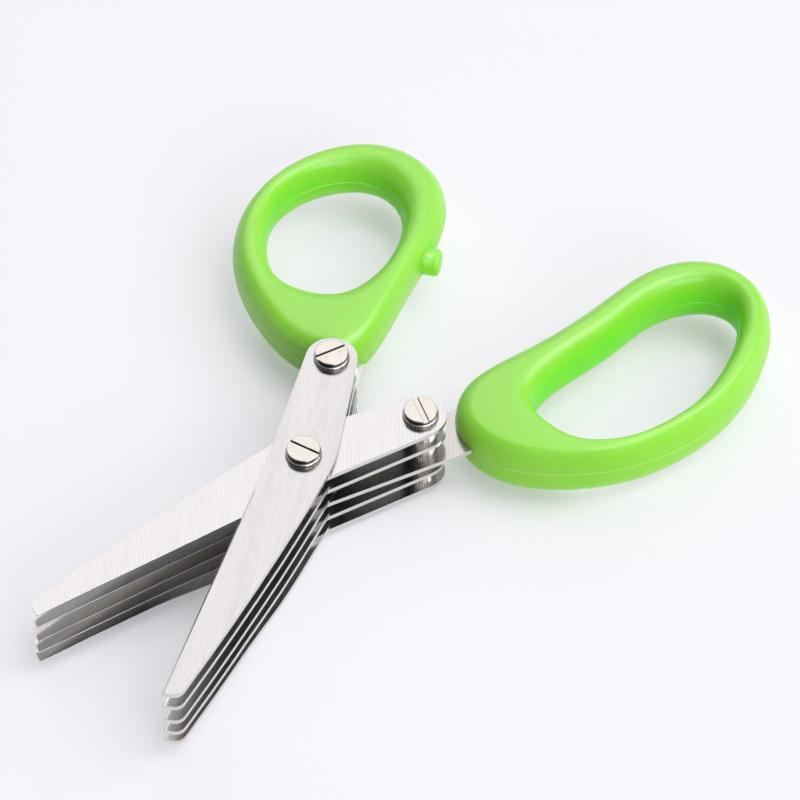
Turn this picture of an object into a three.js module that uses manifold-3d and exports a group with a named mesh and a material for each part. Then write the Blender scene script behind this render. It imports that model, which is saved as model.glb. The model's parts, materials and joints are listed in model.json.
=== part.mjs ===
// Herb scissors with five pairs of shearing blades, in millimetres, +Z up.
// They lie on the heads of their fasteners, with the pivot axis on the origin, the handles towards +Y
// and the tips towards -Y. The finger half is turned clockwise from +Y and the thumb half anticlockwise.

import * as THREE from 'three';
import { mergeVertices } from 'three/addons/utils/BufferGeometryUtils.js';
import Module from 'manifold-3d';

const wasm = await Module();
wasm.setup();

// Stack of blades
const bladePairs = 5;
const bladeThickness = 1.2;
const bladePitch = 4.8;
const runningGap = 0.1;
const restOpening = THREE.MathUtils.degToRad(52.2);

// Outline of a blade and its arm, measured from the pivot axis
const bladeLength = 72;
const tipWidth = 4.3;
const tipReach = 15.5;
const tipCornerRadius = 2.2;
const heelReach = 7.7;
const heelDrop = 1.9;
const spineBelly = 0.7;
const kneeDrop = 1.8;
const kneeRun = 6;
const armHalfWidth = 7.55;
const pinReach = 29.5;
const pinEndRadius = 6;

// Ground bevel along the cutting edge
const bevelWidth = 0.6;
const bevelLand = 0.2;
const bevelStart = 11;
const bevelRunOut = 1.8;

// Tang of the middle blade, which the handle is moulded over
const tangCutReach = 7.4;
const tangShoulderDepth = 2.6;
const tongueDepth = 12.5;
const tongueHalfWidth = 4.2;
const tongueCentre = 1.2;
const keyHoleRadius = 1.9;
const keyHoleDepth = 7.4;
const mouldGap = 0.2;

// Fasteners: a slotted screw in a headed barrel, with a washer under the screw's head
const shankRadius = 1.25;
const shankGap = 0.15;
const shankEndGap = 1.5;
const barrelWall = 0.6;
const holeGap = 0.1;
const headRadius = 4;
const headHeight = 1.25;
const headEdge = 0.25;
const slotWidth = 1.25;
const slotDepth = 0.45;
const washerRadius = 4.15;
const washerThickness = 0.75;
const footHeight = 1.6;
const footEdge = 0.35;
const spacerRadius = 4;
const pivotSpacerRadius = 4.6;
const pivotSlotTurn = THREE.MathUtils.degToRad(8.5);
const thumbSlotTurn = THREE.MathUtils.degToRad(40);
const fingerSlotTurn = THREE.MathUtils.degToRad(-5.5);

// Handles: the setback is from the pin to the palm's front, the reaches are from the arm's centreline
const fingerLoop = {
  height: 15.2,
  setback: 9.1,
  length: 82.4,
  cutReach: 27.3,
  spineReach: 21.5,
  palm: 17.6,
  farWall: 7.7,
  cutWall: 4.6,
  spineWall: 9.7,
  palmFilletAcross: 4.5,
  palmFilletHeight: 5.2,
  tangSpineReach: 5.2,
  // control polygons as shares: along the loop's length, and across its wider side
  outerShares: [
    [-0.03, 0.06], [0.05, 0.64], [0.35, 1.04], [0.58, 0.98], [0.7, 0.89], [0.85, 0.65],
    [1.03, 0.06], [0.98, -0.61], [0.78, -0.88], [0.54, -0.6], [0.31, -0.42], [0.07, -0.37],
  ],
  holeShares: [
    [0.22, 0.4], [0.28, 0.75], [0.43, 0.87], [0.57, 0.78], [0.65, 0.7], [0.78, 0.44],
    [0.93, -0.01], [0.89, -0.42], [0.69, -0.46], [0.55, -0.25], [0.35, -0.15], [0.2, 0.07],
  ],
};
const thumbLoop = {
  height: 13.6,
  setback: 5,
  length: 69.3,
  cutReach: 32.2,
  spineReach: 15.3,
  palm: 18.9,
  farWall: 10.1,
  cutWall: 7.2,
  spineWall: 9,
  palmFilletAcross: 5,
  palmFilletHeight: 4.4,
  tangSpineReach: 6.2,
  outerShares: [
    [-0.03, 0.24], [0.15, 0.7], [0.39, 1.02], [0.66, 1.01], [0.91, 0.66],
    [1.03, 0.15], [0.96, -0.31], [0.75, -0.55], [0.42, -0.34], [0, -0.21],
  ],
  holeShares: [
    [0.26, 0.19], [0.29, 0.61], [0.45, 0.75], [0.64, 0.81], [0.8, 0.59],
    [0.88, 0.18], [0.8, -0.09], [0.68, -0.2], [0.49, -0.2], [0.32, -0.01],
  ],
};

// Stop peg on the thumb loop, which meets the finger loop when the blades are closed
const pegSetback = 42.9;
const pegStand = 1.8;
const pegRadius = 3.3;
const pegEdge = 1.1;
const pegRoot = 3;

// Facets
const roundSteps = 24;
const endSteps = 14;
const curveSteps = 6;
const loopSteps = 64;
const sectionSteps = 20;
const cornerPower = 2.2;
const cutOverrun = 2;

// Heights of the stack
const pairThickness = 2 * bladeThickness + runningGap;
const stackHeight = (bladePairs - 1) * bladePitch + pairThickness;
const middleBlade = (bladePairs + 1) / 2;
const stackTop = footHeight + stackHeight;
const thumbBladeBase = (number) => stackTop - (number - 1) * bladePitch - bladeThickness;
const fingerBladeBase = (number) => thumbBladeBase(number) - runningGap - bladeThickness;

// Radii and places that follow from the sizes above
const boreRadius = shankRadius + shankGap;
const barrelRadius = boreRadius + barrelWall;
const holeRadius = barrelRadius + holeGap;
const palmFront = (loop) => pinReach + loop.setback;

// Finishes
const finish = (color, metalness, roughness) => new THREE.MeshStandardMaterial({ color, metalness, roughness });
const brushedSteel = finish(0xe6e3e3, 1, 0.35);
const polishedSteel = finish(0xd8d2cc, 1, 0.18);
const greenPlastic = finish(0x86e63b, 0, 0.35);

// Solids and meshes
function solidOf(geometry) {
  const bare = geometry.clone();
  bare.deleteAttribute('normal');
  bare.deleteAttribute('uv');
  const merged = mergeVertices(bare);
  return new wasm.Manifold(new wasm.Mesh({
    numProp: 3,
    vertProperties: merged.attributes.position.array,
    triVerts: new Uint32Array(merged.index.array),
  }));
}

function meshOf(name, solid, material) {
  const { vertProperties, triVerts } = solid.getMesh();
  const geometry = new THREE.BufferGeometry();
  geometry.setAttribute('position', new THREE.BufferAttribute(vertProperties, 3));
  geometry.setIndex(new THREE.BufferAttribute(triVerts, 1));
  geometry.computeVertexNormals();
  const mesh = new THREE.Mesh(geometry, material);
  mesh.name = name;
  return mesh;
}

// A flat outline of points, raised from height base by thickness
function plate(points, base, thickness) {
  const geometry = new THREE.ExtrudeGeometry(new THREE.Shape(points), { depth: thickness, bevelEnabled: false });
  return geometry.translate(0, 0, base);
}

// A turned piece about +Z, from pairs of radius and height
function turned(profile) {
  const points = profile.map(([radius, height]) => new THREE.Vector2(radius, height));
  return new THREE.LatheGeometry(points, roundSteps).rotateX(Math.PI / 2);
}

function disc(radius, base, height) {
  return turned([[0, base], [radius, base], [radius, base + height], [0, base + height]]);
}

function ring(outerRadius, innerRadius, base, height) {
  const top = base + height;
  return turned([[innerRadius, base], [outerRadius, base], [outerRadius, top], [innerRadius, top], [innerRadius, base]]);
}

// Blades
const across = (side, points) => points.map((point) => new THREE.Vector2(side * point.x, point.y));
const armTaper = Math.asin((armHalfWidth - pinEndRadius) / pinReach);
const cutDirection = new THREE.Vector2(tipReach - heelReach, heelDrop - bladeLength).normalize();

// The outline runs from the heel of the cutting edge up the arm, round its end and down the spine to the tip
function bladePoints() {
  const outline = new THREE.Path();
  const kneeX = -(armHalfWidth + kneeDrop * Math.tan(armTaper));
  const knee = new THREE.Vector2(kneeX, -kneeDrop);
  const tipSpine = new THREE.Vector2(tipReach - tipWidth, -bladeLength);
  const spineDirection = tipSpine.clone().sub(knee).normalize();
  const kneeEnd = knee.clone().addScaledVector(spineDirection, kneeRun);
  const kneeStartX = knee.x + kneeRun * Math.sin(armTaper);
  const cornerStart = tipSpine.clone().addScaledVector(spineDirection, -tipCornerRadius);
  const belly = kneeEnd.clone().add(cornerStart).multiplyScalar(0.5);
  belly.addScaledVector(new THREE.Vector2(spineDirection.y, -spineDirection.x), 2 * spineBelly);
  outline.moveTo(heelReach, -heelDrop);
  outline.lineTo(pinEndRadius * Math.cos(armTaper), pinReach + pinEndRadius * Math.sin(armTaper));
  outline.absarc(0, pinReach, pinEndRadius, armTaper, Math.PI - armTaper, false);
  outline.lineTo(kneeStartX, knee.y + kneeRun * Math.cos(armTaper));
  outline.quadraticCurveTo(knee.x, knee.y, kneeEnd.x, kneeEnd.y);
  outline.quadraticCurveTo(belly.x, belly.y, cornerStart.x, cornerStart.y);
  outline.quadraticCurveTo(tipSpine.x, tipSpine.y, tipSpine.x + tipCornerRadius, tipSpine.y);
  outline.lineTo(tipReach, -bladeLength);
  return outline.getPoints(curveSteps);
}

// The wedge that grinding takes off the cutting edge, on the face that turns away from the other blade
function bevelWedge(side, faceHeight, towardsFace) {
  const depth = bladeThickness - bevelLand;
  const slope = depth / bevelWidth;
  const section = new THREE.Shape(across(side, [
    new THREE.Vector2(-bevelWidth - cutOverrun / slope, towardsFace * cutOverrun),
    new THREE.Vector2(cutOverrun, towardsFace * cutOverrun),
    new THREE.Vector2(cutOverrun, -towardsFace * (depth + cutOverrun * slope)),
  ]));
  const length = (bladeLength - bevelStart) / -cutDirection.y + cutOverrun;
  const wedge = new THREE.ExtrudeGeometry(section, { depth: length, bevelEnabled: false });
  const along = new THREE.Vector3(side * cutDirection.x, cutDirection.y, 0);
  const up = new THREE.Vector3(0, 0, 1);
  const outward = new THREE.Vector3(-cutDirection.y, side * cutDirection.x, 0);
  const heelShare = (bevelStart - heelDrop) / (bladeLength - heelDrop);
  const start = new THREE.Vector3(
    side * THREE.MathUtils.lerp(heelReach, tipReach, heelShare), -bevelStart, faceHeight);
  const skewed = outward.addScaledVector(along, (side * -bevelRunOut) / bevelWidth);
  const basis = new THREE.Matrix4().makeBasis(skewed, up, along).setPosition(start);
  return solidOf(wedge.applyMatrix4(basis));
}

// A hole right through a blade, at a place along its arm
function bladeHole(radius, x, y) {
  return solidOf(disc(radius, -cutOverrun, bladeThickness + 2 * cutOverrun).translate(x, y, 0));
}

function drilledBlade(side, bevelOnTop, outlines) {
  const facing = bevelOnTop ? 1 : -1;
  return outlines
    .map((points) => solidOf(plate(across(side, points), 0, bladeThickness)))
    .reduce((whole, piece) => whole.add(piece))
    .subtract(bladeHole(holeRadius, 0, 0))
    .subtract(bladeHole(holeRadius, 0, pinReach))
    .subtract(bevelWedge(side, bevelOnTop ? bladeThickness : 0, facing));
}

// The tongue of the tang, grown by a gap where it cuts the handle
function tonguePoints(loop, grow) {
  const tip = new THREE.Path();
  const halfWidth = tongueHalfWidth + grow;
  tip.moveTo(tongueCentre - halfWidth, palmFront(loop));
  tip.lineTo(tongueCentre + halfWidth, palmFront(loop));
  tip.absarc(tongueCentre, palmFront(loop) + tongueDepth - tongueHalfWidth, halfWidth, 0, Math.PI, false);
  return tip.getPoints(endSteps);
}

// The neck joins the arm to the tongue, and its spine side steps in to the narrower handle
function neckPoints(loop, grow) {
  const shoulder = palmFront(loop) + tangShoulderDepth + grow;
  return [
    new THREE.Vector2(tangCutReach + grow, pinReach),
    new THREE.Vector2(tangCutReach + grow, shoulder),
    new THREE.Vector2(-loop.tangSpineReach - grow, shoulder),
    new THREE.Vector2(-loop.tangSpineReach - grow, pinReach),
  ];
}

function tangBlade(side, bevelOnTop, loop) {
  const root = [new THREE.Vector2(-armHalfWidth, 0), new THREE.Vector2(tangCutReach, 0)];
  const neck = [...neckPoints(loop, 0), ...root];
  return drilledBlade(side, bevelOnTop, [bladePoints(), neck, tonguePoints(loop, 0)])
    .subtract(bladeHole(keyHoleRadius, side * tongueCentre, palmFront(loop) + keyHoleDepth));
}

// Handles
// A closed uniform cubic B-spline through a polygon of shares, stretched to fill the given box
function closedCurve(shares, low, high) {
  const count = shares.length;
  const points = [];
  for (let step = 0; step < loopSteps; step += 1) {
    const place = (step / loopSteps) * count;
    const first = Math.floor(place);
    const t = place - first;
    const weights = [
      (1 - t) ** 3 / 6, (3 * t ** 3 - 6 * t ** 2 + 4) / 6,
      (-3 * t ** 3 + 3 * t ** 2 + 3 * t + 1) / 6, t ** 3 / 6,
    ];
    const point = new THREE.Vector2();
    weights.forEach((weight, offset) => {
      const [along, sideways] = shares[(first + offset - 1 + count) % count];
      point.addScaledVector(new THREE.Vector2(sideways, along), weight);
    });
    points.push(point);
  }
  const box = new THREE.Box2().setFromPoints(points);
  return points.map((point) => new THREE.Vector2(
    THREE.MathUtils.mapLinear(point.x, box.min.x, box.max.x, low.x, high.x),
    THREE.MathUtils.mapLinear(point.y, box.min.y, box.max.y, low.y, high.y)));
}

const power = (value) => Math.sign(value) * Math.abs(value) ** (2 / cornerPower);

// The loop: rounded sections from the finger hole to the outside, with a flat top only at the palm
function loopSolid(loop, side) {
  const front = palmFront(loop);
  const back = front + loop.length;
  const outer = closedCurve(loop.outerShares, new THREE.Vector2(-loop.spineReach, front),
    new THREE.Vector2(loop.cutReach, back));
  const hole = closedCurve(loop.holeShares,
    new THREE.Vector2(loop.spineWall - loop.spineReach, front + loop.palm),
    new THREE.Vector2(loop.cutReach - loop.cutWall, back - loop.farWall));
  const positions = [];
  const indices = [];
  for (let step = 0; step < loopSteps; step += 1) {
    const palmShare = ((1 + Math.cos((2 * Math.PI * step) / loopSteps)) / 2) ** 2;
    const centre = outer[step].clone().add(hole[step]).multiplyScalar(0.5);
    const out = outer[step].clone().sub(centre);
    const halfWidth = out.length();
    const halfHeight = loop.height / 2;
    const filletAcross = Math.min(halfWidth, THREE.MathUtils.lerp(halfWidth, loop.palmFilletAcross, palmShare));
    const filletHeight = Math.min(halfHeight, THREE.MathUtils.lerp(halfHeight, loop.palmFilletHeight, palmShare));
    out.normalize();
    for (let turn = 0; turn < sectionSteps; turn += 1) {
      const angle = (2 * Math.PI * (turn + 0.5)) / sectionSteps;
      const sideways = Math.sign(Math.cos(angle)) * (halfWidth - filletAcross) + filletAcross * power(Math.cos(angle));
      const height = Math.sign(Math.sin(angle)) * (halfHeight - filletHeight) + filletHeight * power(Math.sin(angle));
      const point = centre.clone().addScaledVector(out, sideways);
      positions.push(side * point.x, point.y, height);
      const nextStep = (step + 1) % loopSteps;
      const nextTurn = (turn + 1) % sectionSteps;
      const corner = step * sectionSteps + turn;
      const ahead = nextStep * sectionSteps + turn;
      const cornerNext = step * sectionSteps + nextTurn;
      const aheadNext = nextStep * sectionSteps + nextTurn;
      if (side > 0) indices.push(corner, ahead, aheadNext, corner, aheadNext, cornerNext);
      else indices.push(corner, aheadNext, ahead, corner, cornerNext, aheadNext);
    }
  }
  const geometry = new THREE.BufferGeometry();
  geometry.setAttribute('position', new THREE.Float32BufferAttribute(positions, 3));
  geometry.setIndex(indices);
  return solidOf(geometry);
}

// The handle is moulded round the tang, a pillar of plastic fills the tang's key hole,
// and the palm is hollowed clear of the round ends of the arms
function handle(loop, side) {
  const slotBase = -bladeThickness / 2 - mouldGap;
  const slotHeight = bladeThickness + 2 * mouldGap;
  const pillar = disc(keyHoleRadius - mouldGap, slotBase - cutOverrun, slotHeight + 2 * cutOverrun)
    .translate(side * tongueCentre, palmFront(loop) + keyHoleDepth, 0);
  const armEnds = disc(pinEndRadius + mouldGap, -loop.height, 2 * loop.height).translate(0, pinReach, 0);
  const slot = [neckPoints(loop, mouldGap), tonguePoints(loop, mouldGap)]
    .map((points) => solidOf(plate(across(side, points), slotBase, slotHeight)))
    .reduce((whole, piece) => whole.add(piece))
    .subtract(solidOf(pillar));
  return loopSolid(loop, side).subtract(slot).subtract(solidOf(armEnds));
}

function stopPeg() {
  const length = pegStand + pegRoot;
  const rim = new THREE.EllipseCurve(pegRadius - pegEdge, length - pegEdge, pegEdge, pegEdge, 0, Math.PI / 2);
  const points = [new THREE.Vector2(0, 0), new THREE.Vector2(pegRadius, 0), ...rim.getPoints(curveSteps),
    new THREE.Vector2(0, length)];
  const peg = new THREE.LatheGeometry(points, roundSteps).rotateZ(-Math.PI / 2);
  return solidOf(peg.translate(thumbLoop.spineReach - pegRoot, pinReach + pegSetback, 0));
}

// Fasteners
function slottedScrew(headBase, barrelFoot, slotTurn) {
  const top = headBase + headHeight;
  const shankEnd = barrelFoot + footHeight + shankEndGap;
  const head = turned([[0, shankEnd], [shankRadius, shankEnd], [shankRadius, headBase], [headRadius, headBase],
    [headRadius, top - headEdge], [headRadius - headEdge, top], [0, top]]);
  const slot = new THREE.BoxGeometry(2 * (headRadius + cutOverrun), slotWidth, 2 * slotDepth);
  return solidOf(head).subtract(solidOf(slot.rotateZ(slotTurn).translate(0, 0, top)));
}

function headedBarrel(foot, top) {
  return turned([[0, foot], [headRadius - footEdge, foot], [headRadius, foot + footEdge],
    [headRadius, foot + footHeight], [barrelRadius, foot + footHeight], [barrelRadius, top],
    [boreRadius, top], [boreRadius, foot + footHeight], [0, foot + footHeight]]);
}

// A fastener clamps the blades between its foot and its washer
function addFastener(group, name, foot, clampTop, slotTurn) {
  const washer = ring(washerRadius, holeRadius, clampTop, washerThickness);
  const headBase = clampTop + washerThickness;
  const barrel = headedBarrel(foot, headBase - runningGap);
  group.add(meshOf(`${name}_screw`, slottedScrew(headBase, foot, slotTurn), polishedSteel));
  group.add(meshOf(`${name}_washer`, solidOf(washer), polishedSteel));
  group.add(meshOf(`${name}_barrel`, solidOf(barrel), polishedSteel));
}

// One half: its blades, the spacers and fastener at the ends of their arms, and its handle
function half(name, side, loop, grip, bladeBase, bevelOnTop, slotTurn) {
  const group = new THREE.Group();
  for (let number = 1; number <= bladePairs; number += 1) {
    const solid = number === middleBlade
      ? tangBlade(side, bevelOnTop, loop)
      : drilledBlade(side, bevelOnTop, [bladePoints()]);
    const mesh = meshOf(`${name}_blade_${number}`, solid, brushedSteel);
    mesh.position.z = bladeBase(number);
    group.add(mesh);
  }
  const pin = new THREE.Group();
  pin.position.y = pinReach;
  for (let number = 1; number < bladePairs; number += 1) {
    const base = bladeBase(number + 1) + bladeThickness;
    const spacer = ring(spacerRadius, holeRadius, base, bladeBase(number) - base);
    pin.add(meshOf(`${name}_spacer_${number}`, solidOf(spacer), polishedSteel));
  }
  addFastener(pin, name, bladeBase(bladePairs) - footHeight, bladeBase(1) + bladeThickness, slotTurn);
  group.add(pin);
  const gripMesh = meshOf(`${name}_handle`, grip, greenPlastic);
  gripMesh.position.z = bladeBase(middleBlade) + bladeThickness / 2;
  group.add(gripMesh);
  return group;
}

// The pivot: spacers hold the pairs apart, and one fastener passes through all the blades
function pivot() {
  const group = new THREE.Group();
  for (let number = 1; number < bladePairs; number += 1) {
    const base = thumbBladeBase(number + 1) + bladeThickness + runningGap;
    const spacer = ring(pivotSpacerRadius, holeRadius, base, fingerBladeBase(number) - base);
    group.add(meshOf(`pivot_spacer_${number}`, solidOf(spacer), polishedSteel));
  }
  addFastener(group, 'pivot', fingerBladeBase(bladePairs) - footHeight,
    thumbBladeBase(1) + bladeThickness + runningGap, pivotSlotTurn);
  return group;
}

const scissors = new THREE.Group();
const fingerGrip = handle(fingerLoop, 1);
const fingerHalf = half('finger', 1, fingerLoop, fingerGrip, fingerBladeBase, false, fingerSlotTurn);
fingerHalf.rotation.z = -restOpening / 2;
const thumbGrip = handle(thumbLoop, -1).add(stopPeg());
const thumbHalf = half('thumb', -1, thumbLoop, thumbGrip, thumbBladeBase, true, thumbSlotTurn);
thumbHalf.rotation.z = restOpening / 2;
scissors.add(fingerHalf, thumbHalf, pivot());

export default scissors;
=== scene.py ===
"""Herb scissors lying open on a pale table: finishes, fine shapes, light and camera, in metres."""
import json
import math

import bmesh
import bpy
from mathutils import Matrix, Vector


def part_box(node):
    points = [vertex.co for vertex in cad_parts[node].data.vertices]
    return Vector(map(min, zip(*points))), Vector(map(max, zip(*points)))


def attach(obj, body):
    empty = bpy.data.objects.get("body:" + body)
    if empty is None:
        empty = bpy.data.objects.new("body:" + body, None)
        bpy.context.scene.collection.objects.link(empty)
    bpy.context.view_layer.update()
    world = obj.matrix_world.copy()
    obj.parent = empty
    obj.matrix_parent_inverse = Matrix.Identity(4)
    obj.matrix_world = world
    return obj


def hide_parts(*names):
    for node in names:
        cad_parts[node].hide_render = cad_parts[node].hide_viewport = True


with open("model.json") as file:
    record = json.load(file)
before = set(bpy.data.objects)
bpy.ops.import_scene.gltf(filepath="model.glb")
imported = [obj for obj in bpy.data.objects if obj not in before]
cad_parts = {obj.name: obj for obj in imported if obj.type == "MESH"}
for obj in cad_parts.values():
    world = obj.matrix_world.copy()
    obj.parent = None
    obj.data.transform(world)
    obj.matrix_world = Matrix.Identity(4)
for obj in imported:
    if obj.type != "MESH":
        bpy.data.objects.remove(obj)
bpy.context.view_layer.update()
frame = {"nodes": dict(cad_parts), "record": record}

# The body of each CAD node
BODY_OF = {node: body for body, nodes in frame["record"]["behaviour"]["bodies"].items() for node in nodes}

MM = 0.001

# Camera
CAMERA_AIM = Vector((7.22, 26.22, 23.3)) * MM
CAMERA_AZIMUTH = math.radians(37.19)
CAMERA_ELEVATION = math.radians(49.84)
CAMERA_ROLL = math.radians(1.03)
CAMERA_DISTANCE = 1044 * MM
CAMERA_LENS = 205.68
CAMERA_SENSOR = 36
CAMERA_CLIP_START = 100 * MM
CAMERA_CLIP_END = 10000 * MM

# How the halves lie at rest: a turn from the arms' bisector, and the pin's place along the arm
HALF_TURN = math.radians(26.1)
PIN_REACH = 29.5 * MM
MIDDLE_BLADE = 3
PAIR_COUNT = 5

# Moulded loops, as the CAD handles: the setback is from the pin, the reaches from the arm's centreline, and
# the shares are control polygons, along the loop's length and across its wider side
FINGER_LOOP = {
    "side": 1, "setback": 9.1 * MM, "length": 82.4 * MM, "cut_reach": 27.3 * MM, "spine_reach": 21.5 * MM,
    "palm": 17.6 * MM, "far_wall": 7.7 * MM, "cut_wall": 4.6 * MM, "spine_wall": 9.7 * MM,
    "palm_fillet_across": 4.5 * MM, "palm_fillet_height": 5.2 * MM,
    "outer_shares": [
        (-0.03, 0.06), (0.05, 0.64), (0.35, 1.04), (0.58, 0.98), (0.7, 0.89), (0.85, 0.65),
        (1.03, 0.06), (0.98, -0.61), (0.78, -0.88), (0.54, -0.6), (0.31, -0.42), (0.07, -0.37),
    ],
    "hole_shares": [
        (0.22, 0.4), (0.28, 0.75), (0.43, 0.87), (0.57, 0.78), (0.65, 0.7), (0.78, 0.44),
        (0.93, -0.01), (0.89, -0.42), (0.69, -0.46), (0.55, -0.25), (0.35, -0.15), (0.2, 0.07),
    ],
}
THUMB_LOOP = {
    "side": -1, "setback": 5 * MM, "length": 69.3 * MM, "cut_reach": 32.2 * MM, "spine_reach": 15.3 * MM,
    "palm": 18.9 * MM, "far_wall": 10.1 * MM, "cut_wall": 7.2 * MM, "spine_wall": 9 * MM,
    "palm_fillet_across": 5 * MM, "palm_fillet_height": 4.4 * MM,
    "outer_shares": [
        (-0.03, 0.24), (0.15, 0.7), (0.39, 1.02), (0.66, 1.01), (0.91, 0.66),
        (1.03, 0.15), (0.96, -0.31), (0.75, -0.55), (0.42, -0.34), (0, -0.21),
    ],
    "hole_shares": [
        (0.26, 0.19), (0.29, 0.61), (0.45, 0.75), (0.64, 0.81), (0.8, 0.59),
        (0.88, 0.18), (0.8, -0.09), (0.68, -0.2), (0.49, -0.2), (0.32, -0.01),
    ],
}
LOOPS = {"finger": FINGER_LOOP, "thumb": THUMB_LOOP}

# Sections of the loops. Their points crowd towards the raised parting line half way up
CORNER_POWER = 2.2
PALM_POWER = 2
ALONG_STEPS = 240
AROUND_STEPS = 88
SEAM_CROWDING = 0.8
SEAM_HEIGHT = 0.2 * MM
SEAM_WIDTH = 0.26 * MM
PARTING_LINE = "parting_line"

# Room in the palm for the round ends of the arms, cut past both faces
ARM_END_RADIUS = 6.2 * MM
CUT_OVERRUN = 3 * MM

# Stop peg on the thumb loop
PEG_SETBACK = 42.9 * MM
PEG_STAND = 1.8 * MM
PEG_RADIUS = 3.3 * MM
PEG_EDGE = 1.1 * MM
PEG_EDGE_STEPS = 9
PEG_ROOT = 3 * MM

# Turned pieces. The sizes are the CAD's, but for slightly smaller screw heads with wider, shallower slots
TURNED_STEPS = 72
TURNED_EDGE_STEPS = 4
HEAD_RADIUS = 3.88 * MM
FOOT_RADIUS = 4 * MM
HEAD_EDGE = 0.25 * MM
SHANK_RADIUS = 1.25 * MM
BORE_RADIUS = 1.4 * MM
BARREL_RADIUS = 2 * MM
HOLE_RADIUS = 2.1 * MM
WASHER_RADIUS = 4.15 * MM
FOOT_HEIGHT = 1.6 * MM
FOOT_EDGE = 0.35 * MM
SLOT_WIDTH = 1.4 * MM
SLOT_DEPTH = 0.4 * MM
SLOT_CUT_LENGTH = 3 * HEAD_RADIUS
SPACER_RADIUS = 4 * MM
PIVOT_SPACER_RADIUS = 4.6 * MM
SLOT_TURN = {"pivot": math.radians(8.5), "thumb": HALF_TURN + math.radians(40),
             "finger": math.radians(-5.5) - HALF_TURN}

# Edges of pressed and turned steel
BLADE_EDGE = 0.06 * MM
TURNED_EDGE = 0.12 * MM
WASHER_EDGE = 0.32 * MM
SLOT_EDGE = 0.2 * MM
EDGE_STEPS = 2
EDGE_FULLNESS = 0.6
SPACER_EDGE_STEPS = 3
SHARP_ANGLE = math.radians(35)
FLAT_ANGLE = math.radians(0.5)
SAME_POINT = 0.001 * MM

# How far each pair of blades is set upwards past the pivot, from the top pair down. The set starts far
# enough out for nothing to cut through at the widest opening
PAIR_SET = [0, 0.4 * MM, 0.2 * MM, 0.9 * MM, 2.3 * MM]
SET_START = 22 * MM
SET_END = 46 * MM
SET_STEP = 4 * MM
SET_CUTS_ACROSS = (-1, 0, 1, 2)

# Marks of the belt on the blades, and of the polish on the turned steel. The lines' turns are from +Y, and
# the wave texture's waves are WAVE_WIDTH wide at a scale of 1
WAVE_WIDTH = math.pi / 10
THUMB_LINES = 0.5 * MM
THUMB_LINES_TURN = HALF_TURN
FINGER_LINES = 0.6 * MM
FINGER_LINES_TURN = math.radians(37.19)
SCRATCH_WIDTH_SHARE = 0.45
SCRATCH_LENGTH = 5 * MM
CLOUD_WIDTH = 2.5 * MM
CLOUD_LENGTH = 60 * MM
CLOUD_SHIFT = 3 * MM
CLOUD_SHARE = 0.3
LINE_DEPTH = 0.01 * MM
LINE_STRENGTH = 0.12
SMEAR_SIZE = 2.5 * MM
# How far the painted shade in the close corners of the turned steel reaches
CORNER_SHADE_REACH = 0.6 * MM

# Marks on the moulded plastic, and how far light travels in it, with the shares of red, green and blue
BLOOM_SIZE = 18 * MM
GRAIN_SIZE = 0.35 * MM
GRAIN_DEPTH = 0.02 * MM
# How far the painted shade in the hollows of the plastic reaches
HOLLOW_SHADE_REACH = 35 * MM
GLOW_DEPTH = 5 * MM
GLOW_COLOURS = (0.35, 1.0, 0.12)

# Table and light
TABLE_REACH = 3000 * MM
PALE_SHARE = 0.61
SHADE_REACH = 10 * MM
PALE_SIDE_AZIMUTH = math.radians(165)
PALE_SIDE_ELEVATION = math.radians(35)


# Nodes and colours
def linear(hex_colour):
    """An sRGB hex colour as linear RGBA."""
    channels = [int(hex_colour[i:i + 2], 16) / 255 for i in (1, 3, 5)]
    return tuple(c / 12.92 if c <= 0.04045 else ((c + 0.055) / 1.055) ** 2.4 for c in channels) + (1.0,)


def add(tree, kind, settings=None, **links):
    """Adds a node, sets its properties, then sets or links its inputs. in_2 names an input by its number: a
    Mix node's two values are inputs 2 and 3, its vectors 4 and 5, and its colours 6 and 7. A node given as
    an input is linked by the first of its outputs in use."""
    node = tree.nodes.new(kind)
    for name, value in (settings or {}).items():
        setattr(node, name, value)
    for name, value in links.items():
        socket = node.inputs[int(name[3:]) if name.startswith("in_") else name.replace("_", " ")]
        if isinstance(value, bpy.types.Node):
            value = next(output for output in value.outputs if output.enabled)
        if isinstance(value, bpy.types.NodeSocket):
            tree.links.new(value, socket)
        else:
            socket.default_value = value
    return node


def new_material(name):
    material = bpy.data.materials.new(name)
    material.use_nodes = True
    material.node_tree.nodes.clear()
    return material, material.node_tree


def levelness(tree, low, high, least=0.0):
    """How level a face lies, whichever side is up: a share that grows with the height of its normal."""
    normal = add(tree, "ShaderNodeTexCoord").outputs["Normal"]
    height = add(tree, "ShaderNodeSeparateXYZ", Vector=normal).outputs["Z"]
    size = add(tree, "ShaderNodeMath", {"operation": "ABSOLUTE"}, in_0=height)
    return add(tree, "ShaderNodeMapRange", Value=size, From_Min=low, From_Max=high, To_Min=least)


# Steels
def streaks(tree, turn, across, along, detail, shift=0.0):
    """Noise drawn out along one direction of a face, for the marks of a belt. Sizes in metres."""
    place = add(tree, "ShaderNodeTexCoord").outputs["Object"]
    turned = add(tree, "ShaderNodeMapping", {"vector_type": "TEXTURE"}, Vector=place,
                 Location=(shift, 0, 0), Rotation=(0, 0, turn), Scale=(across, along, across))
    return add(tree, "ShaderNodeTexNoise", Vector=turned, Scale=1.0, Detail=detail, Roughness=0.6)


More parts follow.
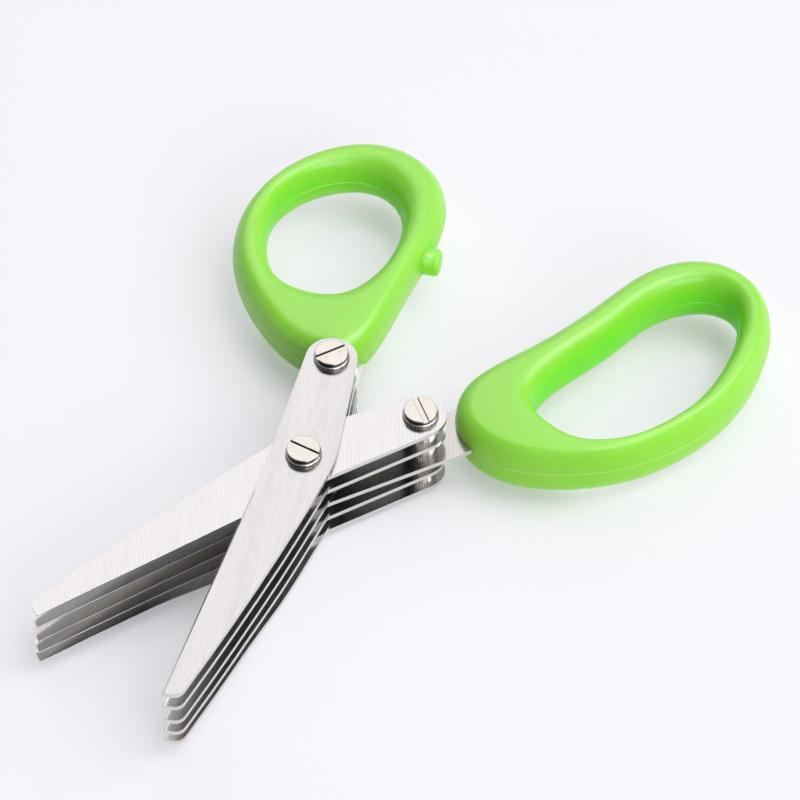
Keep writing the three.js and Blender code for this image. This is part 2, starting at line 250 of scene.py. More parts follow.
def belt_ground_steel(name, turn, spacing, evenness, dark, pale):
    """Stainless strip ground on a belt: satin faces with fine parallel lines. The cut edges get a paler
    steel than the faces, a painted highlight for the bright table they mirror, so they show as thin pale
    lines down the stack. The real lines lie about ten times closer, too fine to show here."""
    material, tree = new_material(name)
    place = add(tree, "ShaderNodeTexCoord").outputs["Object"]
    turned = add(tree, "ShaderNodeMapping", {"vector_type": "TEXTURE"}, Vector=place, Rotation=(0, 0, turn))
    ruled = add(tree, "ShaderNodeTexWave", Vector=turned, Scale=WAVE_WIDTH / spacing, Distortion=1.5,
                Detail=1.0, Detail_Scale=0.3).outputs["Fac"]
    scratched = streaks(tree, turn, across=SCRATCH_WIDTH_SHARE * spacing, along=SCRATCH_LENGTH, detail=2.0)
    lines = add(tree, "ShaderNodeMix", {"data_type": "FLOAT"}, in_0=evenness, in_2=scratched, in_3=ruled)
    clouds = streaks(tree, turn, across=CLOUD_WIDTH, along=CLOUD_LENGTH, detail=1.0, shift=CLOUD_SHIFT)
    marks = add(tree, "ShaderNodeMix", {"data_type": "FLOAT"}, in_0=CLOUD_SHARE, in_2=lines, in_3=clouds)
    share = add(tree, "ShaderNodeMapRange", Value=marks, From_Min=0.35, From_Max=0.65)
    face = add(tree, "ShaderNodeMix", {"data_type": "RGBA"}, in_0=share, in_6=linear(dark),
               in_7=linear(pale))
    # Painted highlight: faces that stand up, the cut and broken edges, get a paler steel than the flat faces
    flat = levelness(tree, low=0.6, high=0.95)
    light_painted_tint = add(tree, "ShaderNodeMix", {"data_type": "RGBA"}, in_0=flat, in_6=linear("#dcd8d6"), in_7=face)
    rough = add(tree, "ShaderNodeMapRange", Value=marks, From_Min=0.35, From_Max=0.65, To_Min=0.15,
                To_Max=0.21)
    strength = add(tree, "ShaderNodeMath", {"operation": "MULTIPLY"}, in_0=flat, in_1=LINE_STRENGTH)
    bump = add(tree, "ShaderNodeBump", Strength=strength, Distance=LINE_DEPTH, Height=lines)
    shader = add(tree, "ShaderNodeBsdfPrincipled", Base_Color=light_painted_tint, Metallic=1.0, Roughness=rough,
                 Normal=bump)
    add(tree, "ShaderNodeOutputMaterial", Surface=shader)
    return material


def turned_steel(name, wall):
    """Stainless steel: faces polished to a warm near-white. The walls take a colour of their own: on the
    fasteners a dark one, partly as the tool left them and partly painted shade, on the spacers a pale one, a
    painted highlight."""
    material, tree = new_material(name)
    place = add(tree, "ShaderNodeTexCoord").outputs["Object"]
    smear = add(tree, "ShaderNodeTexNoise", Vector=place, Scale=1 / SMEAR_SIZE, Detail=2.0)
    rough = add(tree, "ShaderNodeMapRange", Value=smear, From_Min=0.3, From_Max=0.7, To_Min=0.1,
                To_Max=0.16)
    face = add(tree, "ShaderNodeMix", {"data_type": "RGBA"}, in_0=smear, in_6=linear("#c8c2b8"),
               in_7=linear("#d6d2ca"))
    # Painted shade and painted highlight: the walls get a colour of their own
    flat = levelness(tree, low=0.2, high=0.8)
    light_painted_tint = add(tree, "ShaderNodeMix", {"data_type": "RGBA"}, in_0=flat, in_6=linear(wall), in_7=face)
    # Painted shade: close corners, as in a slot, darken to a brown grey
    openness = add(tree, "ShaderNodeAmbientOcclusion", {"only_local": True},
                   Distance=CORNER_SHADE_REACH).outputs["AO"]
    unshaded = add(tree, "ShaderNodeMapRange", Value=openness, From_Min=0.66, From_Max=0.76)
    corner_shaded = add(tree, "ShaderNodeMix", {"data_type": "RGBA"}, in_0=unshaded, in_6=linear("#5c534b"), in_7=light_painted_tint)
    shader = add(tree, "ShaderNodeBsdfPrincipled", Base_Color=corner_shaded, Metallic=1.0, Roughness=rough)
    add(tree, "ShaderNodeOutputMaterial", Surface=shader)
    return material


# Plastic
def moulded_green():
    """Polypropylene, injection moulded with a satin gloss. Light that enters it comes out again nearby.
    The open faces are a pale apple green with a painted sheen, and the hollows a deep green, painted shade
    for the green light that bounces about in them. The parting line is painted paler as a highlight."""
    material, tree = new_material("moulded_polypropylene_green")
    place = add(tree, "ShaderNodeTexCoord").outputs["Object"]
    bloom = add(tree, "ShaderNodeTexNoise", Vector=place, Scale=1 / BLOOM_SIZE, Detail=2.0)
    grain = add(tree, "ShaderNodeTexNoise", Vector=place, Scale=1 / GRAIN_SIZE, Detail=2.0)
    # Painted shade: the more enclosed a face, the deeper its green
    openness = add(tree, "ShaderNodeAmbientOcclusion", {"only_local": True},
                   Distance=HOLLOW_SHADE_REACH).outputs["AO"]
    pale_light_share = add(tree, "ShaderNodeMapRange", {"interpolation_type": "SMOOTHSTEP"}, Value=openness,
                 From_Min=0.58, From_Max=0.84)
    pale = add(tree, "ShaderNodeMix", {"data_type": "RGBA"}, in_0=bloom, in_6=linear("#95df3a"),
               in_7=linear("#9ce542"))
    light_painted_tint = add(tree, "ShaderNodeMix", {"data_type": "RGBA"}, in_0=pale_light_share, in_6=linear("#44ee06"), in_7=pale)
    # Painted highlight: the parting line is painted paler
    parting = add(tree, "ShaderNodeAttribute", {"attribute_name": PARTING_LINE}).outputs["Fac"]
    seam_highlight = add(tree, "ShaderNodeMapRange", Value=parting, To_Max=0.8)
    seam_highlighted = add(tree, "ShaderNodeMix", {"data_type": "RGBA"}, in_0=seam_highlight, in_6=light_painted_tint, in_7=linear("#c8f294"))
    # Painted sheen: open, level faces get more gloss and coat than walls and hollows
    flat = levelness(tree, low=0.2, high=0.9, least=0.25)
    sheen_openness = add(tree, "ShaderNodeMapRange", {"interpolation_type": "SMOOTHSTEP"}, Value=openness,
                  From_Min=0.7, From_Max=0.95)
    sheen_share = add(tree, "ShaderNodeMath", {"operation": "MULTIPLY"}, in_0=sheen_openness, in_1=flat)
    gloss = add(tree, "ShaderNodeMapRange", Value=sheen_share, To_Min=0.15, To_Max=0.75)
    rough = add(tree, "ShaderNodeMapRange", Value=grain, From_Min=0.3, From_Max=0.7, To_Min=0.3,
                To_Max=0.38)
    bump = add(tree, "ShaderNodeBump", Strength=0.05, Distance=GRAIN_DEPTH, Height=grain)
    shader = add(tree, "ShaderNodeBsdfPrincipled", Base_Color=seam_highlighted, Roughness=rough, IOR=1.45, Normal=bump,
                 Subsurface_Weight=0.8, Subsurface_Scale=GLOW_DEPTH, Subsurface_Radius=GLOW_COLOURS,
                 Specular_IOR_Level=gloss, Coat_Weight=sheen_share, Coat_Roughness=0.4)
    add(tree, "ShaderNodeOutputMaterial", Surface=shader)
    return material


# Meshes and objects
def in_scene(name, data):
    thing = bpy.data.objects.new(name, data)
    bpy.context.scene.collection.objects.link(thing)
    return thing


def mesh_piece(shape, name):
    """An object from a bmesh, which is used up."""
    mesh = bpy.data.meshes.new(name)
    shape.to_mesh(mesh)
    shape.free()
    return in_scene(name, mesh)


def merged_copy(node):
    """A CAD node's mesh with its points joined and its flat faces made whole."""
    shape = bmesh.new()
    shape.from_mesh(frame["nodes"][node].data)
    bmesh.ops.remove_doubles(shape, verts=shape.verts, dist=SAME_POINT)
    bmesh.ops.dissolve_limit(shape, angle_limit=FLAT_ANGLE, verts=shape.verts, edges=shape.edges)
    return shape


def applied(piece):
    """A plain object from one with live modifiers, which is removed."""
    graph = bpy.context.evaluated_depsgraph_get()
    mesh = bpy.data.meshes.new_from_object(piece.evaluated_get(graph))
    name = piece.name
    bpy.data.objects.remove(piece)
    return in_scene(name, mesh)


def coated(piece, material):
    """Gives a piece its one material, and shades it smooth but for its sharp edges."""
    piece.data.materials.clear()
    piece.data.materials.append(material)
    piece.data.shade_smooth()
    piece.data.set_sharp_from_angle(angle=SHARP_ANGLE)
    return piece


def evened(piece):
    """Keeps flat faces flat in the light: the normals follow the large faces beside a broken edge."""
    weighted = piece.modifiers.new("even_shading", "WEIGHTED_NORMAL")
    weighted.keep_sharp = True
    return applied(piece)


def cut_or_joined(piece, tools, operation):
    """A piece after an exact boolean with each tool in turn. The tools are used up."""
    for tool in tools:
        modifier = piece.modifiers.new(operation, "BOOLEAN")
        modifier.operation = operation
        modifier.object = tool
        modifier.solver = "EXACT"
        tool_mesh = tool.data
        piece = applied(piece)
        bpy.data.objects.remove(tool)
        bpy.data.meshes.remove(tool_mesh)
    return piece


def stand_for(piece, *nodes):
    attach(piece, BODY_OF[nodes[0]])
    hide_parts(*nodes)


def half_place(side):
    """Puts a half's own axes, with its arm along +Y, where the half lies at rest."""
    return Matrix.Rotation(-side * HALF_TURN, 4, "Z")


# Blades
def set_upwards(shape, side, lift):
    """Bends a blade past the pivot. The rise starts and ends softly and follows the distance from the pivot,
    so a pair still shuts flat. Cuts along and across the blade let its flat faces follow the bend."""
    along = half_place(side) @ Vector((0, -1, 0))
    across = half_place(side) @ Vector((1, 0, 0))
    steps = round((SET_END - SET_START) / SET_STEP)
    cuts = [(along, SET_START + step * SET_STEP) for step in range(steps + 1)]
    cuts += [(across, shift * SET_STEP) for shift in SET_CUTS_ACROSS]
    for normal, distance in cuts:
        everything = shape.verts[:] + shape.edges[:] + shape.faces[:]
        bmesh.ops.bisect_plane(shape, geom=everything, dist=SAME_POINT, plane_co=normal * distance,
                               plane_no=normal)
    for point in shape.verts:
        if point.co.dot(along) > 0:
            share = (point.co.xy.length - SET_START) / (SET_END - SET_START)
            share = min(max(share, 0), 1)
            point.co.z += lift * share ** 2 * (3 - 2 * share)


def blade(half, number, steel, lift):
    """A CAD blade with its set, and with its sharp edges broken, as tumbling leaves them."""
    node = f"{half}_blade_{number}"
    shape = merged_copy(node)
    if lift:
        set_upwards(shape, LOOPS[half]["side"], lift)
    sharp = [e for e in shape.edges if len(e.link_faces) == 2 and e.calc_face_angle() > SHARP_ANGLE]
    bmesh.ops.bevel(shape, geom=sharp, offset=BLADE_EDGE, offset_type="OFFSET", segments=EDGE_STEPS,
                    profile=EDGE_FULLNESS, affect="EDGES", clamp_overlap=True)
    stand_for(evened(coated(mesh_piece(shape, f"shown_{node}"), steel)), node)


# Turned pieces
def lathe(name, profile):
    """A turned piece about +Z, from pairs of radius and height that start and end on the axis or close."""
    shape = bmesh.new()
    points = [shape.verts.new((radius, 0, height)) for radius, height in profile]
    edges = [shape.edges.new(pair) for pair in zip(points, points[1:])]
    bmesh.ops.spin(shape, geom=points + edges, cent=(0, 0, 0), axis=(0, 0, 1), angle=math.tau,
                   steps=TURNED_STEPS, use_merge=True)
    bmesh.ops.remove_doubles(shape, verts=shape.verts, dist=SAME_POINT)
    bmesh.ops.recalc_face_normals(shape, faces=shape.faces)
    return mesh_piece(shape, name)


def rounded_corner(radius, height, edge, up, steps=TURNED_EDGE_STEPS):
    """Points round an outer corner of a turned profile. up is 1 for a top corner and -1 for a lower one."""
    points = []
    for step in range(steps + 1):
        angle = math.pi / 2 * step / steps
        points.append((radius - edge * (1 - math.cos(angle)), height - up * edge * (1 - math.sin(angle))))
    return points


def slotted_screw(name, x, y):
    low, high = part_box(f"{name}_screw")
    head_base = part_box(f"{name}_washer")[1][2]
    profile = [(0, low[2]), (SHANK_RADIUS, low[2]), (SHANK_RADIUS, head_base),
               *rounded_corner(HEAD_RADIUS, head_base, TURNED_EDGE, -1)[::-1],
               *rounded_corner(HEAD_RADIUS, high[2], HEAD_EDGE, 1), (0, high[2])]
    screw = lathe(f"shown_{name}_screw", profile)
    screw.data.transform(Matrix.Translation((x, y, 0)))
    shape = bmesh.new()
    size = Matrix.Diagonal((SLOT_CUT_LENGTH, SLOT_WIDTH, 2 * SLOT_DEPTH, 1))
    turn = Matrix.Translation((x, y, high[2])) @ Matrix.Rotation(SLOT_TURN[name], 4, "Z")
    bmesh.ops.create_cube(shape, size=1, matrix=turn @ size)
    screw = cut_or_joined(screw, [mesh_piece(shape, "slot")], "DIFFERENCE")
    broken = screw.modifiers.new("slot_edges", "BEVEL")
    broken.limit_method = "ANGLE"
    broken.angle_limit = SHARP_ANGLE
    broken.width = SLOT_EDGE
    broken.segments = EDGE_STEPS
    return applied(screw)


def washer(name, x, y):
    """A flat ring with its four corners broken."""
    low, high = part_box(f"{name}_washer")
    start = (HOLE_RADIUS, low[2] + WASHER_EDGE)
    profile = [start, (HOLE_RADIUS + WASHER_EDGE, low[2]),
               *rounded_corner(WASHER_RADIUS, low[2], WASHER_EDGE, -1)[::-1],
               *rounded_corner(WASHER_RADIUS, high[2], WASHER_EDGE, 1),
               (HOLE_RADIUS + WASHER_EDGE, high[2]), (HOLE_RADIUS, high[2] - WASHER_EDGE), start]
    ring = lathe(f"shown_{name}_washer", profile)
    ring.data.transform(Matrix.Translation((x, y, 0)))
    return ring


def headed_barrel(name, x, y):
    """The nut that the screw goes into, with its head at the foot."""
    low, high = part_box(f"{name}_barrel")
    foot_top = low[2] + FOOT_HEIGHT
    profile = [(0, low[2]), *rounded_corner(FOOT_RADIUS, low[2], FOOT_EDGE, -1)[::-1],
               *rounded_corner(FOOT_RADIUS, foot_top, TURNED_EDGE, 1), (BARREL_RADIUS, foot_top),
               (BARREL_RADIUS, high[2]), (BORE_RADIUS, high[2]), (BORE_RADIUS, foot_top), (0, foot_top)]
    barrel = lathe(f"shown_{name}_barrel", profile)
    barrel.data.transform(Matrix.Translation((x, y, 0)))
    return barrel


def fastener(name, steel):
    low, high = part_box(f"{name}_barrel")
    x = (low[0] + high[0]) / 2
    y = (low[1] + high[1]) / 2
    for part, make in (("screw", slotted_screw), ("washer", washer), ("barrel", headed_barrel)):
        stand_for(evened(coated(make(name, x, y), steel)), f"{name}_{part}")


# Rules for shapes
def new_rule(name, inputs):
    """A Geometry Nodes tree whose inputs are given as names and kinds, and its group input's sockets."""
    tree = bpy.data.node_groups.new(name, "GeometryNodeTree")
    for label, kind in [("Geometry", "Geometry"), *inputs, ("Material", "Material")]:
        tree.interface.new_socket(label, in_out="INPUT", socket_type=f"NodeSocket{kind}")
    tree.interface.new_socket("Geometry", in_out="OUTPUT", socket_type="NodeSocketGeometry")
    return tree, add(tree, "NodeGroupInput").outputs


def finish_rule(tree, geometry, material):
    whole = add(tree, "GeometryNodeRealizeInstances", Geometry=geometry)
    finished = add(tree, "GeometryNodeSetMaterial", Geometry=whole, Material=material)
    add(tree, "NodeGroupOutput", Geometry=finished)


def grown(mesh, tree, inputs, name):
    """Runs a tree on a mesh and gives the result as a plain object."""
    seed = in_scene(name, mesh)
    modifier = seed.modifiers.new(name, "NODES")
    modifier.node_group = tree
    for socket in tree.interface.items_tree:
        if socket.item_type == "SOCKET" and socket.name in inputs:
            modifier[socket.identifier] = inputs[socket.name]
    return applied(seed)


# Moulded loops
def closed_curve(shares, low, high):
    """A closed uniform cubic B-spline on a control polygon of shares, stretched to fill a box."""
    count = len(shares)
    points = []
    for step in range(ALONG_STEPS):
        first, t = divmod(step * count / ALONG_STEPS, 1)
        weights = ((1 - t) ** 3 / 6, (3 * t ** 3 - 6 * t ** 2 + 4) / 6,
                   (-3 * t ** 3 + 3 * t ** 2 + 3 * t + 1) / 6, t ** 3 / 6)
        corners = [shares[(int(first) + offset - 1) % count] for offset in range(4)]
        along = sum(w * c[0] for w, c in zip(weights, corners))
        across = sum(w * c[1] for w, c in zip(weights, corners))
        points.append(Vector((across, along)))
    least = Vector(min(p[axis] for p in points) for axis in (0, 1))
    most = Vector(max(p[axis] for p in points) for axis in (0, 1))
    return [Vector(low[axis] + (p[axis] - least[axis]) / (most[axis] - least[axis])
                   * (high[axis] - low[axis]) for axis in (0, 1)) for p in points]


def loop_sheet(loop, height):
    """A ring of quads round a loop. Each point carries its places on the two rails and on the section."""
    front = PIN_REACH + loop["setback"]
    back = front + loop["length"]
    rail_lines = {
        "outer_rail": closed_curve(
            loop["outer_shares"], (-loop["spine_reach"], front), (loop["cut_reach"], back)),
        "hole_rail": closed_curve(
            loop["hole_shares"], (loop["spine_wall"] - loop["spine_reach"], front + loop["palm"]),
            (loop["cut_reach"] - loop["cut_wall"], back - loop["far_wall"])),
    }
    place = half_place(loop["side"])
    rails = {"outer_rail": [], "hole_rail": []}
    shares = {"palm_share": [], "section_angle": []}
    faces = []
    for step in range(ALONG_STEPS):
        palm_share = ((1 + math.cos(math.tau * step / ALONG_STEPS)) / 2) ** PALM_POWER
        for turn in range(AROUND_STEPS):
            angle = math.tau * turn / AROUND_STEPS
            for rail, line in rail_lines.items():
                rails[rail].extend(place @ Vector((loop["side"] * line[step].x, line[step].y, height)))
            shares["palm_share"].append(palm_share)
            shares["section_angle"].append(angle - SEAM_CROWDING / 2 * math.sin(2 * angle))
            ahead = (step + 1) % ALONG_STEPS * AROUND_STEPS
            here = step * AROUND_STEPS
            following = (turn + 1) % AROUND_STEPS
            face = (here + turn, ahead + turn, ahead + following, here + following)
            faces.append(face if loop["side"] > 0 else face[::-1])
    mesh = bpy.data.meshes.new("loop_sheet")
    mesh.from_pydata([(0, 0, 0)] * (ALONG_STEPS * AROUND_STEPS), [], faces)
    for name, values in rails.items():
        mesh.attributes.new(name, "FLOAT_VECTOR", "POINT").data.foreach_set("vector", values)
    for name, values in shares.items():
        mesh.attributes.new(name, "FLOAT", "POINT").data.foreach_set("value", values)
    return mesh


def loop_rule():
    """The sections of a loop: an oval ring that turns into a palm with a flat top, and a parting line."""
    tree, given = new_rule("moulded_loop", [
        ("Half height", "Float"), ("Fillet across", "Float"), ("Fillet height", "Float"),
        ("Corner power", "Float"), ("Seam height", "Float"), ("Seam width", "Float")])
    outer = add(tree, "GeometryNodeInputNamedAttribute", {"data_type": "FLOAT_VECTOR"}, Name="outer_rail")
    hole = add(tree, "GeometryNodeInputNamedAttribute", {"data_type": "FLOAT_VECTOR"}, Name="hole_rail")
    palm_share = add(tree, "GeometryNodeInputNamedAttribute", {"data_type": "FLOAT"}, Name="palm_share")
    angle = add(tree, "GeometryNodeInputNamedAttribute", {"data_type": "FLOAT"}, Name="section_angle")
    bend = add(tree, "ShaderNodeMath", {"operation": "DIVIDE"}, in_0=2.0, in_1=given["Corner power"])

    def rounded(wave, full, fillet):
        """A straight part and a corner of the section, from a sine or cosine."""
        sign = add(tree, "ShaderNodeMath", {"operation": "SIGN"}, in_0=wave)
        size = add(tree, "ShaderNodeMath", {"operation": "ABSOLUTE"}, in_0=wave)
        curve = add(tree, "ShaderNodeMath", {"operation": "POWER"}, in_0=size, in_1=bend)
        corner = add(tree, "ShaderNodeMath", {"operation": "MULTIPLY"}, in_0=fillet, in_1=curve)
        straight = add(tree, "ShaderNodeMath", {"operation": "SUBTRACT"}, in_0=full, in_1=fillet)
        reach = add(tree, "ShaderNodeMath", {"operation": "ADD"}, in_0=straight, in_1=corner)
        return add(tree, "ShaderNodeMath", {"operation": "MULTIPLY"}, in_0=sign, in_1=reach)

    def towards_palm(full, fillet):
        """The full fillet of the ring, which shrinks to the palm's own."""
        change = add(tree, "ShaderNodeMath", {"operation": "SUBTRACT"}, in_0=fillet, in_1=full)
        blend = add(tree, "ShaderNodeMath", {"operation": "MULTIPLY_ADD"}, in_0=change, in_1=palm_share,
                    in_2=full)
        return add(tree, "ShaderNodeMath", {"operation": "MINIMUM"}, in_0=full, in_1=blend)

    centre = add(tree, "ShaderNodeMix", {"data_type": "VECTOR"}, in_0=0.5, in_4=outer, in_5=hole)
    out = add(tree, "ShaderNodeVectorMath", {"operation": "SUBTRACT"}, in_0=outer, in_1=centre)
    half_width = add(tree, "ShaderNodeVectorMath", {"operation": "LENGTH"}, in_0=out)
    outwards = add(tree, "ShaderNodeVectorMath", {"operation": "NORMALIZE"}, in_0=out)
    cosine = add(tree, "ShaderNodeMath", {"operation": "COSINE"}, in_0=angle)
    sine = add(tree, "ShaderNodeMath", {"operation": "SINE"}, in_0=angle)
    sideways = rounded(cosine, half_width, towards_palm(half_width, given["Fillet across"]))
    height = rounded(sine, given["Half height"], towards_palm(given["Half height"], given["Fillet height"]))
    from_middle = add(tree, "ShaderNodeMath", {"operation": "ABSOLUTE"}, in_0=height)
    from_seam = add(tree, "ShaderNodeMath", {"operation": "DIVIDE"}, in_0=from_middle,
                    in_1=given["Seam width"])
    near_seam = add(tree, "ShaderNodeMath", {"operation": "SUBTRACT"}, in_0=1.0, in_1=from_seam)
    on_seam = add(tree, "ShaderNodeMath", {"operation": "MAXIMUM"}, in_0=near_seam, in_1=0.0)
    seam = add(tree, "ShaderNodeMath", {"operation": "MULTIPLY"}, in_0=on_seam, in_1=given["Seam height"])
    way = add(tree, "ShaderNodeMath", {"operation": "SIGN"}, in_0=sideways)
    ridge = add(tree, "ShaderNodeMath", {"operation": "MULTIPLY"}, in_0=seam, in_1=way)
    reach = add(tree, "ShaderNodeMath", {"operation": "ADD"}, in_0=sideways, in_1=ridge)
    level = add(tree, "ShaderNodeVectorMath", {"operation": "SCALE"}, in_0=outwards, Scale=reach)
    raised = add(tree, "ShaderNodeCombineXYZ", Z=height)
    offset = add(tree, "ShaderNodeVectorMath", {"operation": "ADD"}, in_0=level, in_1=raised)
    place = add(tree, "ShaderNodeVectorMath", {"operation": "ADD"}, in_0=centre, in_1=offset)
    marked = add(tree, "GeometryNodeStoreNamedAttribute", {"data_type": "FLOAT", "domain": "POINT"},
                 Geometry=given["Geometry"], Name=PARTING_LINE, Value=near_seam)
    moved = add(tree, "GeometryNodeSetPosition", Geometry=marked, Position=place)
    finish_rule(tree, moved, given["Material"])
    return tree


def peg(height):
    """A round peg with a soft rim, which stands out from the thumb loop's spine side."""
    length = PEG_ROOT + PEG_STAND
    rim = rounded_corner(PEG_RADIUS, length, PEG_EDGE, 1, PEG_EDGE_STEPS)
    piece = lathe("peg", [(0, 0), (PEG_RADIUS, 0), *rim, (0, length)])
    along_x = Matrix.Rotation(math.pi / 2, 4, "Y")
    root = Vector((THUMB_LOOP["spine_reach"] - PEG_ROOT, PIN_REACH + PEG_SETBACK, height))
    piece.data.transform(half_place(THUMB_LOOP["side"]) @ Matrix.Translation(root) @ along_x)
    return piece


def handle(half, tree, material):
    """A loop, with the thumb loop's peg joined on, moulded round the tang and the ends of the arms."""
    loop = LOOPS[half]
    low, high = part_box(f"{half}_handle")
    middle = (low[2] + high[2]) / 2
    ring = grown(loop_sheet(loop, middle), tree, {
        "Half height": (high[2] - low[2]) / 2, "Fillet across": loop["palm_fillet_across"],
        "Fillet height": loop["palm_fillet_height"], "Corner power": CORNER_POWER,
        "Seam height": SEAM_HEIGHT, "Seam width": SEAM_WIDTH, "Material": material}, f"shown_{half}_handle")
    if half == "thumb":
        ring = cut_or_joined(ring, [peg(middle)], "UNION")
    foot = low[2] - CUT_OVERRUN
    top = high[2] + CUT_OVERRUN
    arm_ends = lathe("arm_ends", [(0, foot), (ARM_END_RADIUS, foot), (ARM_END_RADIUS, top), (0, top)])
    arm_ends.data.transform(half_place(loop["side"]) @ Matrix.Translation((0, PIN_REACH, 0)))
    tang = mesh_piece(merged_copy(f"{half}_blade_{MIDDLE_BLADE}"), "tang")
    moulded = cut_or_joined(ring, [tang, arm_ends], "DIFFERENCE")
    stand_for(coated(moulded, material), f"{half}_handle")


# Spacers
def spacer_rule():
    """A column of equal round spacers on a pin."""
    tree, given = new_rule("spacer_column", [
        ("Count", "Int"), ("Pitch", "Float"), ("Height", "Float"), ("Outer radius", "Float"),
        ("Bore radius", "Float"), ("Edge", "Float"), ("First middle", "Vector")])
    wall = add(tree, "ShaderNodeMath", {"operation": "SUBTRACT"}, in_0=given["Outer radius"],
               in_1=given["Bore radius"])
    both = add(tree, "ShaderNodeMath", {"operation": "ADD"}, in_0=given["Outer radius"],
               in_1=given["Bore radius"])
    middle = add(tree, "ShaderNodeMath", {"operation": "MULTIPLY"}, in_0=both, in_1=0.5)
    path = add(tree, "GeometryNodeCurvePrimitiveCircle", Resolution=TURNED_STEPS, Radius=middle)
    section = add(tree, "GeometryNodeCurvePrimitiveQuadrilateral", Width=wall, Height=given["Height"])
    eased = add(tree, "GeometryNodeFilletCurve", {"mode": "POLY"}, Curve=section, Count=SPACER_EDGE_STEPS,
                Radius=given["Edge"])
    swept = add(tree, "GeometryNodeCurveToMesh", Curve=path, in_1=eased)
    up = add(tree, "ShaderNodeCombineXYZ", Z=given["Pitch"])
    column = add(tree, "GeometryNodeMeshLine", Count=given["Count"], in_2=given["First middle"], Offset=up)
    spread = add(tree, "GeometryNodeInstanceOnPoints", Points=column, Instance=swept)
    finish_rule(tree, spread, given["Material"])
    return tree


def spacers(name, radius, tree, steel):
    """The four spacers of a pin, counted from the lowest."""
    nodes = [f"{name}_spacer_{number}" for number in range(PAIR_COUNT - 1, 0, -1)]
    low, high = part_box(nodes[0])
    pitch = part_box(nodes[1])[0][2] - low[2]
    middle = Vector((low[axis] + high[axis]) / 2 for axis in range(3))
    column = grown(bpy.data.meshes.new("pin"), tree, {
        "Count": PAIR_COUNT - 1, "Pitch": pitch, "Height": high[2] - low[2], "Outer radius": radius,
        "Bore radius": HOLE_RADIUS, "Edge": TURNED_EDGE, "First middle": middle, "Material": steel},
        f"shown_{name}_spacers")
    stand_for(evened(coated(column, steel)), *nodes)


# The object. The thumb blades are ground along their length, and the finger blades aslant across it. Most
# of the covered thumb blades get a paler steel, painted light, and the middle finger blade a darker one,
# painted shade
thumb_steel = belt_ground_steel(
    "belt_ground_stainless_lengthwise", turn=THUMB_LINES_TURN, spacing=THUMB_LINES, evenness=0.15,
    dark="#bebdbc", pale="#cdcccb")
# Painted light: most of the covered thumb blades get a paler steel, which lightens the gaps between them
lit_inner_steel = belt_ground_steel(
    "belt_ground_stainless_painted_light", turn=THUMB_LINES_TURN, spacing=THUMB_LINES, evenness=0.15,
    dark="#efedeb", pale="#f5f4f2")
finger_steel = belt_ground_steel(
    "belt_ground_stainless_crosswise", turn=FINGER_LINES_TURN, spacing=FINGER_LINES, evenness=0.5,
    dark="#c7c6c6", pale="#d3d2d2")
# Painted shade: the middle finger blade gets a darker steel
shaded_middle_steel = belt_ground_steel(
    "belt_ground_stainless_painted_shade", turn=FINGER_LINES_TURN, spacing=FINGER_LINES, evenness=0.5,
    dark="#b6b4b0", pale="#c2c0bc")
# The fasteners' walls are dark, partly as the tool left them and partly painted shade; the spacers' walls
# are pale, a painted highlight
fastener_steel = turned_steel("turned_stainless", wall="#66625f")
spacer_steel = turned_steel("drawn_stainless_tube", wall="#e2ddd5")
green = moulded_green()

BLADE_STEELS = {
    "finger": [finger_steel, finger_steel, shaded_middle_steel, finger_steel, finger_steel],
    "thumb": [thumb_steel, lit_inner_steel, thumb_steel, lit_inner_steel, lit_inner_steel],
}
for half, steels in BLADE_STEELS.items():
    for number, (steel, lift) in enumerate(zip(steels, PAIR_SET), 1):
        blade(half, number, steel, lift)

moulded_loop = loop_rule()
for half in LOOPS:
    handle(half, moulded_loop, green)

spacer_column = spacer_rule()
for name, radius in (("finger", SPACER_RADIUS), ("thumb", SPACER_RADIUS), ("pivot", PIVOT_SPACER_RADIUS)):
    fastener(name, fastener_steel)
    spacers(name, radius, spacer_column, spacer_steel)


# Table, light and camera
def table():
    """Matt and pale. Seen directly or mirrored, it shows a share of its own plain colour, and less of it in
    the shade close to the object."""
    mesh = bpy.data.meshes.new("table")
    corners = [(x * TABLE_REACH, y * TABLE_REACH, 0) for x, y in ((-1, -1), (1, -1), (1, 1), (-1, 1))]
    mesh.from_pydata(corners, [], [(0, 1, 2, 3)])
    material, tree = new_material("pale_matt_table")
    matt = add(tree, "ShaderNodeBsdfDiffuse", Color=linear("#f4f3f8"))
    pale = add(tree, "ShaderNodeEmission", Color=linear("#f8f7fc"), Strength=1.0)
    path = add(tree, "ShaderNodeLightPath").outputs
    mirrored = add(tree, "ShaderNodeMath", {"operation": "MAXIMUM"}, in_0=path["Is Glossy Ray"],
                   in_1=path["Is Transmission Ray"])
    seen = add(tree, "ShaderNodeMath", {"operation": "MAXIMUM"}, in_0=path["Is Camera Ray"], in_1=mirrored)
    openness = add(tree, "ShaderNodeAmbientOcclusion", Distance=SHADE_REACH).outputs["AO"]
    open_share = add(tree, "ShaderNodeMapRange", Value=openness, From_Min=0.6, To_Min=0.3,
                     To_Max=PALE_SHARE)
    share = add(tree, "ShaderNodeMath", {"operation": "MULTIPLY"}, in_0=seen, in_1=open_share)
    shader = add(tree, "ShaderNodeMixShader", in_0=share, in_1=matt, in_2=pale)
    add(tree, "ShaderNodeOutputMaterial", Surface=shader)
    mesh.materials.append(material)
    in_scene("table", mesh)


def direction(azimuth, elevation):
    """Towards a place round the object: azimuth 0 is the -Y side, and it turns as the camera's does."""
    flat = math.cos(elevation)
    return Vector((math.sin(azimuth) * flat, -math.cos(azimuth) * flat, math.sin(elevation)))


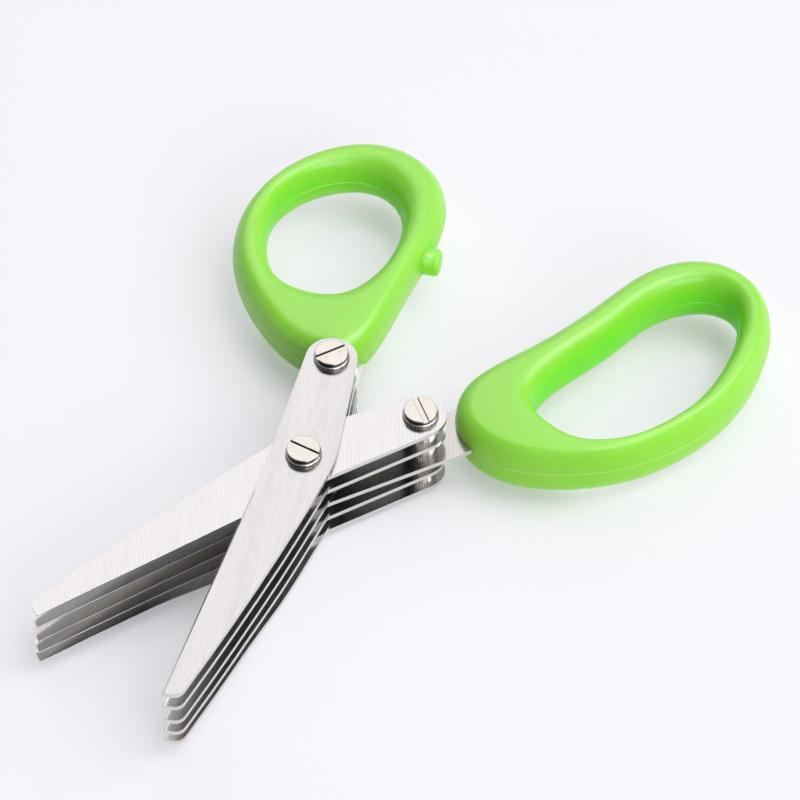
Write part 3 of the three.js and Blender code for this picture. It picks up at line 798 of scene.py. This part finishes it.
def softbox(name, azimuth, elevation, distance, width, height, power, colour="#ffffff"):
    """A rectangular lamp that faces the object. Angles in degrees, sizes in metres, power in watts."""
    lamp = bpy.data.lights.new(name, "AREA")
    lamp.color = linear(colour)[:3]
    lamp.shape = "RECTANGLE"
    lamp.size = width
    lamp.size_y = height
    lamp.energy = power
    holder = in_scene(name, lamp)
    towards = direction(math.radians(azimuth), math.radians(elevation))
    holder.location = CAMERA_AIM + towards * distance
    holder.rotation_mode = "QUATERNION"
    holder.rotation_quaternion = towards.to_track_quat("Z", "Y")


def studio_world():
    """Pale on the right and behind, darker on the left and in front, which gives the steel its contrast.
    Low down, polished faces mirror the pale backdrop all round."""
    world = bpy.data.worlds.new("studio")
    world.use_nodes = True
    tree = world.node_tree
    tree.nodes.clear()
    place = add(tree, "ShaderNodeTexCoord").outputs["Generated"]
    towards = direction(PALE_SIDE_AZIMUTH, PALE_SIDE_ELEVATION)
    facing = add(tree, "ShaderNodeVectorMath", {"operation": "DOT_PRODUCT"}, in_0=place, in_1=towards)
    share = add(tree, "ShaderNodeMapRange", {"interpolation_type": "SMOOTHSTEP"}, Value=facing,
                From_Min=-0.1, From_Max=0.95, To_Min=0.08, To_Max=0.4)
    height = add(tree, "ShaderNodeSeparateXYZ", Vector=place).outputs["Z"]
    backdrop = add(tree, "ShaderNodeMapRange", {"interpolation_type": "SMOOTHSTEP"}, Value=height,
                   From_Min=0.3, From_Max=0.6, To_Min=0.7, To_Max=0.0)
    mirrored = add(tree, "ShaderNodeLightPath").outputs["Is Glossy Ray"]
    shown = add(tree, "ShaderNodeMath", {"operation": "MULTIPLY"}, in_0=mirrored, in_1=backdrop)
    strength = add(tree, "ShaderNodeMath", {"operation": "MAXIMUM"}, in_0=share, in_1=shown)
    light = add(tree, "ShaderNodeBackground", Color=linear("#f7f7ff"), Strength=strength)
    add(tree, "ShaderNodeOutputWorld", Surface=light)
    bpy.context.scene.world = world


def camera():
    data = bpy.data.cameras.new("camera")
    data.sensor_width = CAMERA_SENSOR
    data.lens = CAMERA_LENS
    data.clip_start = CAMERA_CLIP_START
    data.clip_end = CAMERA_CLIP_END
    back = direction(CAMERA_AZIMUTH, CAMERA_ELEVATION)
    level = Vector((math.cos(CAMERA_AZIMUTH), math.sin(CAMERA_AZIMUTH), 0))
    upright = back.cross(level)
    right = level * math.cos(CAMERA_ROLL) + upright * math.sin(CAMERA_ROLL)
    up = back.cross(right)
    holder = in_scene("camera", data)
    axes = Matrix((right, up, back)).transposed().to_4x4()
    holder.matrix_world = Matrix.Translation(CAMERA_AIM + back * CAMERA_DISTANCE) @ axes
    bpy.context.scene.camera = holder


table()
studio_world()
softbox("key_softbox", azimuth=132, elevation=52, distance=2, width=1.3, height=1.3, power=15.5)
softbox("top_softbox", azimuth=98, elevation=72, distance=1.8, width=1.3, height=1.3, power=8)
softbox("front_softbox", azimuth=70, elevation=32, distance=2, width=1.2, height=0.8, power=15)
softbox("back_softbox", azimuth=226, elevation=50, distance=1.4, width=1.3, height=1, power=4.65,
        colour="#fffbfa")
camera()
bpy.context.scene.view_settings.view_transform = "Standard"
